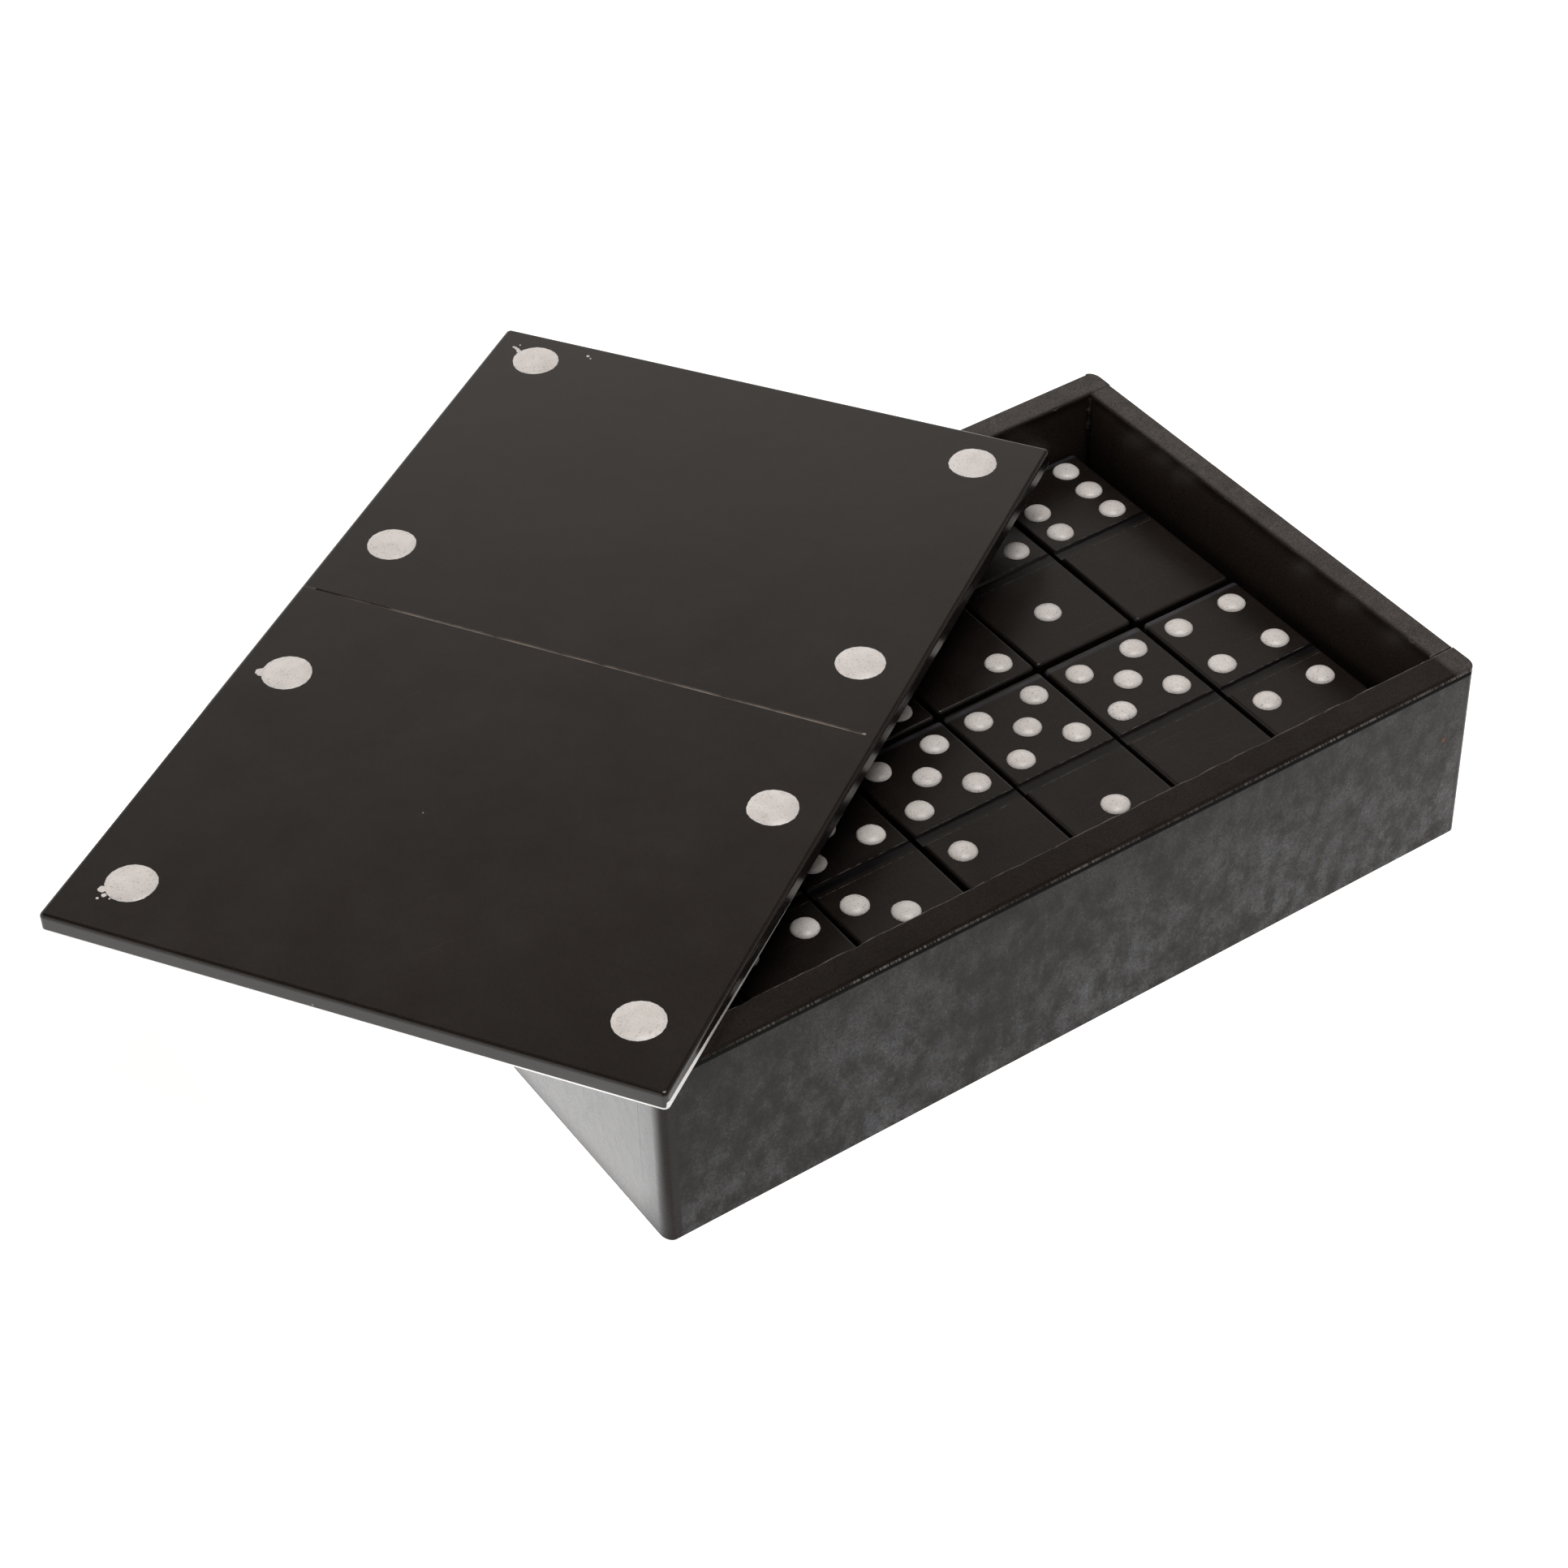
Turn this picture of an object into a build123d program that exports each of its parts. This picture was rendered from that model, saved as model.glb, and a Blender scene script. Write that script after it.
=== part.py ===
from build123d import *
import math
import os

# A boxed set of dominoes in black marble: an open box glued up from five slabs, a flat loose lid cut
# like a giant double-four, and the twenty-eight tiles of a double-six set, lying in two layers.
# Millimetres. The origin is the centre of the box's underside: +X runs along the box, +Y to its back
# and +Z up. The lid lies turned on the rim, so that the front right-hand tiles can be reached.

# --- the tile, which the box is made to fit -------------------------------------------------------
tile_width = 25.3
tile_length = 55.4
tile_thickness = 12.0
tile_corner_radius = 1.0  # upright edges
tile_edge_radius = 0.7  # edges round the two broad faces

groove_width = 3.4  # the channel between a tile's two halves, at the face
groove_floor_width = 2.7
groove_depth = 0.5

pip_diameter = 6.0
pip_rise = 0.9  # the poured dome above the face
pip_socket_depth = 1.2
pip_step_across = 7.2  # centre line to an outer pip, across the tile
pip_step_along = 7.3  # the same, along the tile
pip_step_six = 8.4  # a six has three pips in a row along the tile, at this step
bond = 0.03  # resin film between a pip and its drilled socket

# --- how the tiles lie in the box -----------------------------------------------------------------
columns = 7
rows = 2
layers = 2
column_gap = 0.9
row_gap = 1.4
side_clearance = 0.7  # tile ends to the long walls
end_clearance = 0.5  # last column to the left-hand wall
finger_gap = 5.2  # first column to the right-hand wall, to get a finger down
layer_clearance = 0.2  # over the domes of the layer below
loose_shift_x = 0.15  # each tile lies a little off its place
loose_shift_y = 0.3
loose_turn = 0.2  # degrees
headroom = 13.7  # top of the upper layer to the rim

# --- the box --------------------------------------------------------------------------------------
front_wall_thickness = 7.8
back_wall_thickness = 6.6
end_wall_thickness = 5.8
floor_thickness = 6.1
box_corner_radius = 3.0
rim_edge_radius = 0.5
front_edge_chamfer = 0.9  # ground along the outer top edge of the front slab
seam = 0.02  # glue line between slabs

# --- the lid --------------------------------------------------------------------------------------
lid_thickness = 4.2
lid_past_ends = 3.75
lid_past_sides = 1.8
lid_corner_radius = 1.2
lid_top_edge_radius = 0.9
lid_under_edge_radius = 0.4
lid_turn = 33.25  # degrees, anticlockwise from above
lid_corner_past_end = 2.4  # its front corner stands out past the box's front left-hand corner
lid_corner_past_front = 7.6

lid_pip_diameter = 10.4
lid_pip_rise = 0.6
lid_pip_socket_depth = 1.4
# Drilled by eye: each mark's place along the lid from its middle, and in from its long edge.
left_row_marks = ((94.2, 11.5), (22.4, 11.6), (-23.2, 10.8), (-89.6, 12.6))
right_row_marks = ((92.7, 14.0), (21.2, 12.0), (-25.7, 11.8), (-88.2, 12.4))
lid_line_width = 0.6
lid_line_depth = 0.3
lid_line_inset = 3.5  # the cut line stops this far short of the lid's long edges
lid_line_past_middle = 2.1
lid_line_turn = -1.0  # degrees, anticlockwise from square across the lid

# --- worked out from the above --------------------------------------------------------------------
inner_length = (
    columns * tile_width + (columns - 1) * column_gap + end_clearance + finger_gap
)
inner_width = rows * tile_length + (rows - 1) * row_gap + 2 * side_clearance
layer_pitch = tile_thickness + pip_rise + layer_clearance
box_length = inner_length + 2 * end_wall_thickness
box_width = inner_width + front_wall_thickness + back_wall_thickness
box_height = floor_thickness + (layers - 1) * layer_pitch + tile_thickness + headroom
lid_length = box_length + 2 * lid_past_ends
lid_width = box_width + 2 * lid_past_sides

inner_left = -box_length / 2 + end_wall_thickness
inner_right = box_length / 2 - end_wall_thickness
inner_front = -box_width / 2 + front_wall_thickness
inner_back = box_width / 2 - back_wall_thickness
column_pitch = tile_width + column_gap
row_pitch = tile_length + row_gap
half_centre = (tile_length / 2 + groove_width / 2) / 2

# Where pips stand in one half of a tile, in steps across and along it.
DIAGONAL = [(-1, 1), (1, -1)]
CORNERS = DIAGONAL + [(1, 1), (-1, -1)]
CENTRE = [(0, 0)]
SPOTS = {
    0: [],
    1: CENTRE,
    2: DIAGONAL,
    3: DIAGONAL + CENTRE,
    4: CORNERS,
    5: CORNERS + CENTRE,
    6: [(across, along) for across in (-1, 1) for along in (-1, 0, 1)],
}

written = []


def write(name, shape):
    """One sub-part to its own STEP file."""
    export_step(shape, f"parts/{name}.step")
    written.append(name)


def slab(x_range, y_range, z_range):
    """A square-edged slab between three pairs of limits."""
    size = [high - low for low, high in (x_range, y_range, z_range)]
    middle = [(high + low) / 2 for low, high in (x_range, y_range, z_range)]
    return Pos(*middle) * Box(*size)


def eased_slab(length, width, thickness, corner_radius, under_radius, top_radius):
    """A slab standing on z = 0, with rounded upright edges and eased faces."""
    body = Pos(0, 0, thickness / 2) * Box(length, width, thickness)
    body = fillet(body.edges().filter_by(Axis.Z), corner_radius)
    body = fillet(body.edges().group_by(Axis.Z)[-1], top_radius)
    return fillet(body.edges().group_by(Axis.Z)[0], under_radius)


def pip(diameter, rise, depth):
    """A resin pip: a plug that fills its socket, and the shallow dome that it is poured to."""
    radius = diameter / 2
    sphere_radius = (radius**2 + rise**2) / (2 * rise)
    ball = Pos(0, 0, rise - sphere_radius) * Sphere(sphere_radius)
    above_face = Pos(0, 0, rise) * Box(2 * diameter, 2 * diameter, 2 * rise)
    plug = Pos(0, 0, -depth / 2) * Cylinder(radius, depth)
    return plug + (ball & above_face)


def socket(diameter, depth):
    """The drilled hole that a pip is poured into."""
    reach = depth  # as far above the face again, to cut cleanly through it
    return Cylinder(diameter / 2 + bond, depth + reach)


def half_spots(value):
    """Pip places in one half, from the middle of that half."""
    step_along = pip_step_six if value == 6 else pip_step_along
    return [(across * pip_step_across, along * step_along) for across, along in SPOTS[value]]


def tile_spots(far_value, near_value):
    """Pip places on a whole tile, the far half towards +Y."""
    far = [(x, half_centre + y) for x, y in half_spots(far_value)]
    near = [(x, -half_centre + y) for x, y in half_spots(near_value)]
    return far + near


def groove():
    """The channel across the middle of a tile, a little wider at the face than at its floor."""
    reach = tile_width
    slope = (groove_width - groove_floor_width) / 2 / groove_depth
    top = groove_depth  # the same height again above the face
    wide = groove_width / 2 + slope * top
    outline = Plane.YZ * Polygon(
        (-groove_floor_width / 2, -groove_depth),
        (groove_floor_width / 2, -groove_depth),
        (wide, top),
        (-wide, top),
        align=None,
    )
    return extrude(outline, reach, both=True)


blank = eased_slab(
    tile_width,
    tile_length,
    tile_thickness,
    tile_corner_radius,
    tile_edge_radius,
    tile_edge_radius,
) - Pos(0, 0, tile_thickness) * groove()
tile_pip = pip(pip_diameter, pip_rise, pip_socket_depth)
tile_socket = socket(pip_diameter, pip_socket_depth)


def tile(far_value, near_value):
    """A tile's marble body, and its pips, both standing on z = 0."""
    places = [Pos(x, y, tile_thickness) for x, y in tile_spots(far_value, near_value)]
    body = blank
    for place in places:
        body -= place * tile_socket
    return body, [place * tile_pip for place in places]


# The layout of the packed set. A double-six set holds every pair of values from 0 to 6 once. The
# upper layer has the sixes along its back row and the fives along its front row, with the double
# four at the front right-hand end; the lower layer has the rest in the order that they come.
upper_layer = [(6, low) for low in range(7)] + [(4, 4)] + [(5, low) for low in range(6)]
lower_layer = [
    (high, low)
    for high in range(7)
    for low in range(high + 1)
    if (high, low) not in upper_layer
]


def tile_place(layer, index):
    """Where a tile stands: columns count from the right-hand end, and the back row comes first."""
    row, column = divmod(index, columns)
    number = layer * columns * rows + index
    x = inner_left + end_clearance + tile_width / 2 + (columns - 1 - column) * column_pitch
    y = inner_back - side_clearance - tile_length / 2 - row * row_pitch
    z = floor_thickness + layer * layer_pitch
    x += loose_shift_x * math.sin(2.4 * number + 1.0)
    y += loose_shift_y * math.sin(1.7 * number + 0.5)
    turn = loose_turn * math.sin(5.3 * number)
    return Pos(x, y, z) * Rot(0, 0, turn)


def make_tiles():
    for layer, values in enumerate((lower_layer, upper_layer)):
        for index, (far_value, near_value) in enumerate(values):
            place = tile_place(layer, index)
            body, pips = tile(far_value, near_value)
            write(f"tile_{far_value}_{near_value}", place * body)
            if pips:
                name = f"pips_{far_value}_{near_value}"
                write(name, Compound(children=[place * one for one in pips]))


def long_wall(y_range, outer_side):
    """A slab as long as the box, with the two upright edges on its outer side rounded."""
    wall = slab((-box_length / 2, box_length / 2), y_range, (0, box_height))
    outer_edges = wall.edges().filter_by(Axis.Z).sort_by(Axis.Y)
    outer_edges = outer_edges[:2] if outer_side < 0 else outer_edges[-2:]
    return fillet(outer_edges, min(box_corner_radius, 0.9 * (y_range[1] - y_range[0])))


def top_edges(body, sort_axis, outer):
    """The outer or inner top edges of a wall, along its length."""
    edges = body.edges().group_by(Axis.Z)[-1].sort_by(sort_axis)
    return edges[-1] if outer else edges[0]


def make_box():
    front = long_wall((-box_width / 2, inner_front), -1)
    front = chamfer(top_edges(front, Axis.Y, outer=False), front_edge_chamfer)
    back = long_wall((inner_back, box_width / 2), 1)
    back = fillet(top_edges(back, Axis.Y, outer=True), rim_edge_radius)
    write("long_walls", Compound(children=[front, back]))

    between = (inner_front + seam, inner_back - seam)
    right = slab((inner_right, box_length / 2), between, (0, box_height))
    right = fillet(top_edges(right, Axis.X, outer=True), rim_edge_radius)
    left = slab((-box_length / 2, inner_left), between, (0, box_height))
    left = fillet(top_edges(left, Axis.X, outer=False), rim_edge_radius)
    write("end_walls", Compound(children=[left, right]))

    inside_length = (inner_left + seam, inner_right - seam)
    write("floor_slab", slab(inside_length, between, (0, floor_thickness)))


def make_lid():
    marks = [(u, lid_width / 2 - inset) for u, inset in left_row_marks]
    marks += [(u, inset - lid_width / 2) for u, inset in right_row_marks]
    places = [Pos(u, v, lid_thickness) for u, v in marks]
    body = eased_slab(
        lid_length,
        lid_width,
        lid_thickness,
        lid_corner_radius,
        lid_under_edge_radius,
        lid_top_edge_radius,
    )
    line_place = Pos(lid_line_past_middle, 0, lid_thickness) * Rot(0, 0, lid_line_turn)
    body -= line_place * Box(
        lid_line_width, lid_width - 2 * lid_line_inset, 2 * lid_line_depth
    )
    for place in places:
        body -= place * socket(lid_pip_diameter, lid_pip_socket_depth)
    dome = pip(lid_pip_diameter, lid_pip_rise, lid_pip_socket_depth)

    corner_x = -box_length / 2 - lid_corner_past_end
    corner_y = -box_width / 2 - lid_corner_past_front
    to_middle = Vector(lid_length / 2, lid_width / 2, 0).rotate(Axis.Z, lid_turn)
    lid_place = Pos(corner_x + to_middle.X, corner_y + to_middle.Y, box_height)
    lid_place *= Rot(0, 0, lid_turn)
    write("lid_slab", lid_place * body)
    write("lid_pips", Compound(children=[lid_place * place * dome for place in places]))
    return corner_x + to_middle.X, corner_y + to_middle.Y


os.makedirs("parts", exist_ok=True)
make_box()
lid_centre = make_lid()
make_tiles()

print(f"box {box_length:.1f} x {box_width:.1f} x {box_height:.1f}")
print(f"lid {lid_length:.1f} x {lid_width:.1f} x {lid_thickness:.1f}, middle {lid_centre}")
print(f"inside x {inner_left:.2f} to {inner_right:.2f}, y {inner_front:.2f} to {inner_back:.2f}")
upper_face = floor_thickness + (layers - 1) * layer_pitch + tile_thickness
print(f"upper tile faces at z {upper_face:.2f}, rim at {box_height:.2f}")
print(f"{len(written)} nodes")
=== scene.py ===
# %% [markdown]
# # A boxed set of marble dominoes
# The frame comes first: every CAD node is loaded where it lies, and all that follows is dressed around
# it.

# %% Load the frame
import math
import random

import bpy
from mathutils import Matrix, Vector, noise


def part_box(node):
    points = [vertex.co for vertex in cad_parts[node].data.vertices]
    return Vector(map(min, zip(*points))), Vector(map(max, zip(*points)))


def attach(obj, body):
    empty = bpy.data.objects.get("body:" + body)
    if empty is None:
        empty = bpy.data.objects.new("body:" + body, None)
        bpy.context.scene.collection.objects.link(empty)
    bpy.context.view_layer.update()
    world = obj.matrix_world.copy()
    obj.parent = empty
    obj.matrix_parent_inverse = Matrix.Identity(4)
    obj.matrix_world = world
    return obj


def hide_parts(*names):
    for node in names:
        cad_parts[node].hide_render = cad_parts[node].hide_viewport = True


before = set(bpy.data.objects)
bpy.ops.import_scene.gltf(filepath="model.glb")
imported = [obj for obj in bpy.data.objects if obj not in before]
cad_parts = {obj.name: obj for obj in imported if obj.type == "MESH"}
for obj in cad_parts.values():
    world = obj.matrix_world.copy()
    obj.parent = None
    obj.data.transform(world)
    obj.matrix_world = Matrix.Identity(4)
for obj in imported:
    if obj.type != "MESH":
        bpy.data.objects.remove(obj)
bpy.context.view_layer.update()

MM = 0.001

# %% [markdown]
# ## The camera
# The set is seen from above its front left-hand corner with a long lens, so that its edges hardly
# converge. A camera can be aimed by turning its -Z axis along the line of sight; the small roll then
# tips the horizon, as a camera held in the hand does.

# %% Camera
CAMERA_PLACE = Vector((-329.0, -464.3, 529.8)) * MM
CAMERA_TARGET = Vector((-20.3, 12.7, 20.0)) * MM
CAMERA_ROLL = math.radians(-2.02)
CAMERA_LENS = 83.94

sight = CAMERA_TARGET - CAMERA_PLACE
aim = sight.to_track_quat("-Z", "Y").to_matrix() @ Matrix.Rotation(CAMERA_ROLL, 3, "Z")
camera = bpy.data.objects.new("camera", bpy.data.cameras.new("camera"))
camera.matrix_world = Matrix.Translation(CAMERA_PLACE) @ aim.to_4x4()
camera.data.lens = CAMERA_LENS
bpy.context.scene.collection.objects.link(camera)
bpy.context.scene.camera = camera
print("camera", round(sight.length, 3), "m away")

# %% [markdown]
# ## The studio
# Black polished stone shows little colour of its own: what is seen is what it mirrors. The set stands on
# white paper that is lit from below as well, so it stays white right up to the stone and the outside of
# the box mirrors it. Low in the sky, behind and to the left, the room is pale; higher up and to the
# right it is dim, so the lid is lighter towards its far end and its right-hand edge stays dark. A soft
# lamp overhead lights the pips. A strip of the paper along the left-hand end of the box glows several
# times brighter than the rest, which makes that end pale and leaves the lid's edges dark.

# %% Floor
FLOOR_SIZE = 8.0


def add_lamp(name, place, target, size, power, colour):
    lamp = bpy.data.lights.new(name, "AREA")
    lamp.shape = "RECTANGLE"
    lamp.size, lamp.size_y = size
    lamp.energy = power
    lamp.color = colour
    holder = bpy.data.objects.new(name, lamp)
    direction = Vector(target) - Vector(place)
    holder.rotation_euler = direction.to_track_quat("-Z", "Y").to_euler()
    holder.location = place
    holder.visible_camera = False
    bpy.context.scene.collection.objects.link(holder)
    return holder


bpy.ops.object.select_all(action="DESELECT")
bpy.ops.mesh.primitive_plane_add(size=FLOOR_SIZE)
floor = bpy.context.object
floor.name = "floor"
print("floor", FLOOR_SIZE, "m square")

# %% Lamp
KEY_PLACE = (0.18, -0.12, 1.6)
KEY_SIZE = (0.8, 0.8)
KEY_POWER = 16.0
KEY_COLOUR = (1.0, 0.98, 0.95)

add_lamp("key_lamp", KEY_PLACE, (0, 0, 0), KEY_SIZE, KEY_POWER, KEY_COLOUR)

# %% Sky
SKY_TONES = (
    (0.45, (1.0, 0.96, 0.92)),  # the sine of the elevation, and the tone there
    (0.57, (0.86, 0.80, 0.755)),
    (0.65, (0.38, 0.345, 0.32)),
    (0.80, (0.09, 0.080, 0.073)),
)
BRIGHT_SIDE = Vector((-0.5, 0.85, 0.0))
DARK_SIDE_SHARE = 0.3
SIDE_EDGES = (-0.1, 0.22)  # how far towards the bright side the sky starts and stops growing paler

world = bpy.data.worlds.new("studio")
world.use_nodes = True
sky_nodes, sky_links = world.node_tree.nodes, world.node_tree.links
direction = sky_nodes.new("ShaderNodeTexCoord").outputs["Generated"]
height = sky_nodes.new("ShaderNodeSeparateXYZ")
sky_ramp = sky_nodes.new("ShaderNodeValToRGB")
stops = sky_ramp.color_ramp.elements
while len(stops) < len(SKY_TONES):
    stops.new(0.5)
for stop, (position, tone) in zip(stops, SKY_TONES):
    stop.position = position
    stop.color = (*tone, 1.0)
toward_bright = sky_nodes.new("ShaderNodeVectorMath")
toward_bright.operation = "DOT_PRODUCT"
toward_bright.inputs[1].default_value = BRIGHT_SIDE
side = sky_nodes.new("ShaderNodeMapRange")
side.inputs["From Min"].default_value, side.inputs["From Max"].default_value = SIDE_EDGES
side.inputs["To Min"].default_value = DARK_SIDE_SHARE
sky_links.new(direction, height.inputs["Vector"])
sky_links.new(direction, toward_bright.inputs[0])
sky_links.new(toward_bright.outputs["Value"], side.inputs["Value"])
sky_links.new(height.outputs["Z"], sky_ramp.inputs["Fac"])
sky_links.new(sky_ramp.outputs["Color"], sky_nodes["Background"].inputs["Color"])
sky_links.new(side.outputs["Result"], sky_nodes["Background"].inputs["Strength"])
bpy.context.scene.world = world
bpy.context.scene.view_settings.view_transform = "Standard"
print("sky tones", len(SKY_TONES))

# %% [markdown]
# ## Finishes: the tools
# Every finish is a small net of nodes that reads the piece's Object coordinates. All the pieces' objects
# sit at the origin, so one pattern runs on through the whole set and no two dominoes look the same. A
# few helpers keep the nets short: a material with its shader, a noise, a colour ramp, a mix, and masks
# made by comparing a coordinate with a place.


# %% Helpers for finishes
def new_finish(name):
    """A material, its net of nodes and links, its shader and its Object coordinates."""
    material = bpy.data.materials.new(name)
    material.use_nodes = True
    net = material.node_tree
    shader = net.nodes["Principled BSDF"]
    coordinates = net.nodes.new("ShaderNodeTexCoord").outputs["Object"]
    return material, net, shader, coordinates


def stretched(net, coordinates, scale=(1, 1, 1), turn=0.0, shift=(0, 0, 0)):
    """The coordinates moved, turned about Z and then scaled along each axis."""
    mapping = net.nodes.new("ShaderNodeMapping")
    mapping.inputs["Location"].default_value = shift
    mapping.inputs["Rotation"].default_value = (0, 0, turn)
    mapping.inputs["Scale"].default_value = scale
    net.links.new(coordinates, mapping.inputs["Vector"])
    return mapping.outputs["Vector"]


def noise_of(net, vector, scale, detail=4.0, roughness=0.55, distortion=0.0):
    texture = net.nodes.new("ShaderNodeTexNoise")
    texture.inputs["Scale"].default_value = scale
    texture.inputs["Detail"].default_value = detail
    texture.inputs["Roughness"].default_value = roughness
    texture.inputs["Distortion"].default_value = distortion
    net.links.new(vector, texture.inputs["Vector"])
    return texture.outputs["Fac"]


def ramp_of(net, value, *stops):
    """A colour ramp; each stop is a position and a grey level or a colour."""
    ramp = net.nodes.new("ShaderNodeValToRGB")
    elements = ramp.color_ramp.elements
    while len(elements) < len(stops):
        elements.new(0.5)
    for element, (position, colour) in zip(elements, stops):
        element.position = position
        levels = (colour,) * 3 if isinstance(colour, (int, float)) else colour
        element.color = (*levels, 1.0)
    net.links.new(value, ramp.inputs["Fac"])
    return ramp.outputs["Color"]


def mixed(net, factor, first, second, blend="MIX"):
    """Two colours mixed; any of the three may be a value or another node's output."""
    mix = net.nodes.new("ShaderNodeMix")
    mix.data_type = "RGBA"
    mix.blend_type = blend
    sockets = [mix.inputs[0], mix.inputs[6], mix.inputs[7]]
    for socket, given in zip(sockets, (factor, first, second)):
        if isinstance(given, bpy.types.NodeSocket):
            net.links.new(given, socket)
        elif isinstance(given, tuple):
            socket.default_value = (*given, 1.0)
        else:
            socket.default_value = given
    return mix.outputs[2]


def math_of(net, operation, first, second=0.0):
    node = net.nodes.new("ShaderNodeMath")
    node.operation = operation
    for socket, given in zip(node.inputs, (first, second)):
        if isinstance(given, bpy.types.NodeSocket):
            net.links.new(given, socket)
        else:
            socket.default_value = given
    return node.outputs[0]


def times(net, *factors):
    """All the factors multiplied together."""
    product = factors[0]
    for factor in factors[1:]:
        product = math_of(net, "MULTIPLY", product, factor)
    return product


def tinted(net, colour, tone):
    return mixed(net, 1.0, colour, tone, "MULTIPLY")


def gap_from(net, value, place):
    """How far a value is from a place, on either side of it."""
    return math_of(net, "ABSOLUTE", math_of(net, "SUBTRACT", value, place))


def axes_of(net, coordinates):
    """The X, Y and Z of some coordinates."""
    separate = net.nodes.new("ShaderNodeSeparateXYZ")
    net.links.new(coordinates, separate.inputs["Vector"])
    return separate.outputs


def rising(net, value, start, end):
    """0 below start, 1 above end; with start above end it falls instead."""
    span = net.nodes.new("ShaderNodeMapRange")
    span.inputs["From Min"].default_value = start
    span.inputs["From Max"].default_value = end
    net.links.new(value, span.inputs["Value"])
    return span.outputs["Result"]


def bump_of(net, height, distance, below=None):
    bump = net.nodes.new("ShaderNodeBump")
    bump.inputs["Strength"].default_value = 1.0
    bump.inputs["Distance"].default_value = distance
    net.links.new(height, bump.inputs["Height"])
    if below is not None:
        net.links.new(below, bump.inputs["Normal"])
    return bump.outputs["Normal"]


print("helpers ready")

# %% [markdown]
# ## Floor finish
# A plain white paper sweep: nearly white, with a trace of unevenness, and glowing because it is lit from
# below. The strip beside the box's left-hand end glows brighter. A lamp there would also be mirrored in
# the lid's edges, which have to stay dark.

# %% Floor finish
PAPER_GLOW = 0.78
STRIP_GLOW = 3.7
STRIP_WIDTH = 42 * MM
RIGHT_FADE, LEFT_FADE, NEAR_FADE = 4 * MM, 10 * MM, 20 * MM
strip_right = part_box("long_walls")[0].x - 2 * MM
strip_left = strip_right - STRIP_WIDTH
strip_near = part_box("long_walls")[0].y + 14 * MM


def paper_finish():
    material, net, shader, coordinates = new_finish("white_paper")
    tone = noise_of(net, coordinates, 3.0)
    colour = ramp_of(net, tone, (0.3, 0.84), (0.7, 0.88))
    net.links.new(colour, shader.inputs["Base Color"])
    shader.inputs["Emission Color"].default_value = (1.0, 1.0, 1.0, 1.0)
    axes = axes_of(net, coordinates)
    leftward = rising(net, axes["X"], strip_right + RIGHT_FADE, strip_right)
    backward = rising(net, axes["Y"], strip_near - NEAR_FADE, strip_near)
    near_box = rising(net, axes["X"], strip_left - LEFT_FADE, strip_left)
    extra = times(net, leftward, backward, near_box, STRIP_GLOW - PAPER_GLOW)
    glow = math_of(net, "ADD", extra, PAPER_GLOW)
    net.links.new(glow, shader.inputs["Emission Strength"])
    shader.inputs["Roughness"].default_value = 0.9
    shader.inputs["Specular IOR Level"].default_value = 0.1
    return material


floor.data.materials.append(paper_finish())
print("floor finish", floor.data.materials[0].name)

# %% [markdown]
# ## Polished black marble, for the lid and the dominoes
# The stone is a warm brown-black. Broad clouds of slightly lighter stone drift through it, fine grain
# speckles it, tiny pale grains and hairline scratches catch the light, and the polish is a little
# uneven, so the mirrored room is soft. The clouds and the grain are noises at two scales, the grains are
# the cell centres of a Voronoi pattern of which few are kept, and the scratches are a noise pulled out
# long in one direction and cut off high.

# %% Polished black marble
GRAIN_SCALE = 3600.0
GRAIN_DEPTH = 0.008 * MM
RIPPLE_DEPTH = 0.02 * MM
STONE_IOR = 1.5
MARK_EDGE = 0.05  # how soon a hairline turns from nothing to its full strength
PALE_GRAIN = (0.20, 0.17, 0.15)


def pale_grains(net, coordinates, scale, size, share):
    """A mask of small round grains: Voronoi cells near their centres, and only a share of the cells."""
    cells = net.nodes.new("ShaderNodeTexVoronoi")
    cells.inputs["Scale"].default_value = scale
    net.links.new(coordinates, cells.inputs["Vector"])
    near = math_of(net, "LESS_THAN", cells.outputs["Distance"], size)
    chosen = net.nodes.new("ShaderNodeSeparateColor")
    net.links.new(cells.outputs["Color"], chosen.inputs["Color"])
    kept = math_of(net, "LESS_THAN", chosen.outputs["Red"], share)
    return times(net, near, kept)


def scratches(net, coordinates, turn, length_scale, fineness, start):
    """A mask of hairlines: a noise stretched along one direction, kept only where it is high."""
    drawn = stretched(net, coordinates, (length_scale, fineness, length_scale), turn)
    lines = noise_of(net, drawn, 1.0, detail=2.0)
    return ramp_of(net, lines, (start, 0.0), (start + MARK_EDGE, 1.0))


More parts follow.
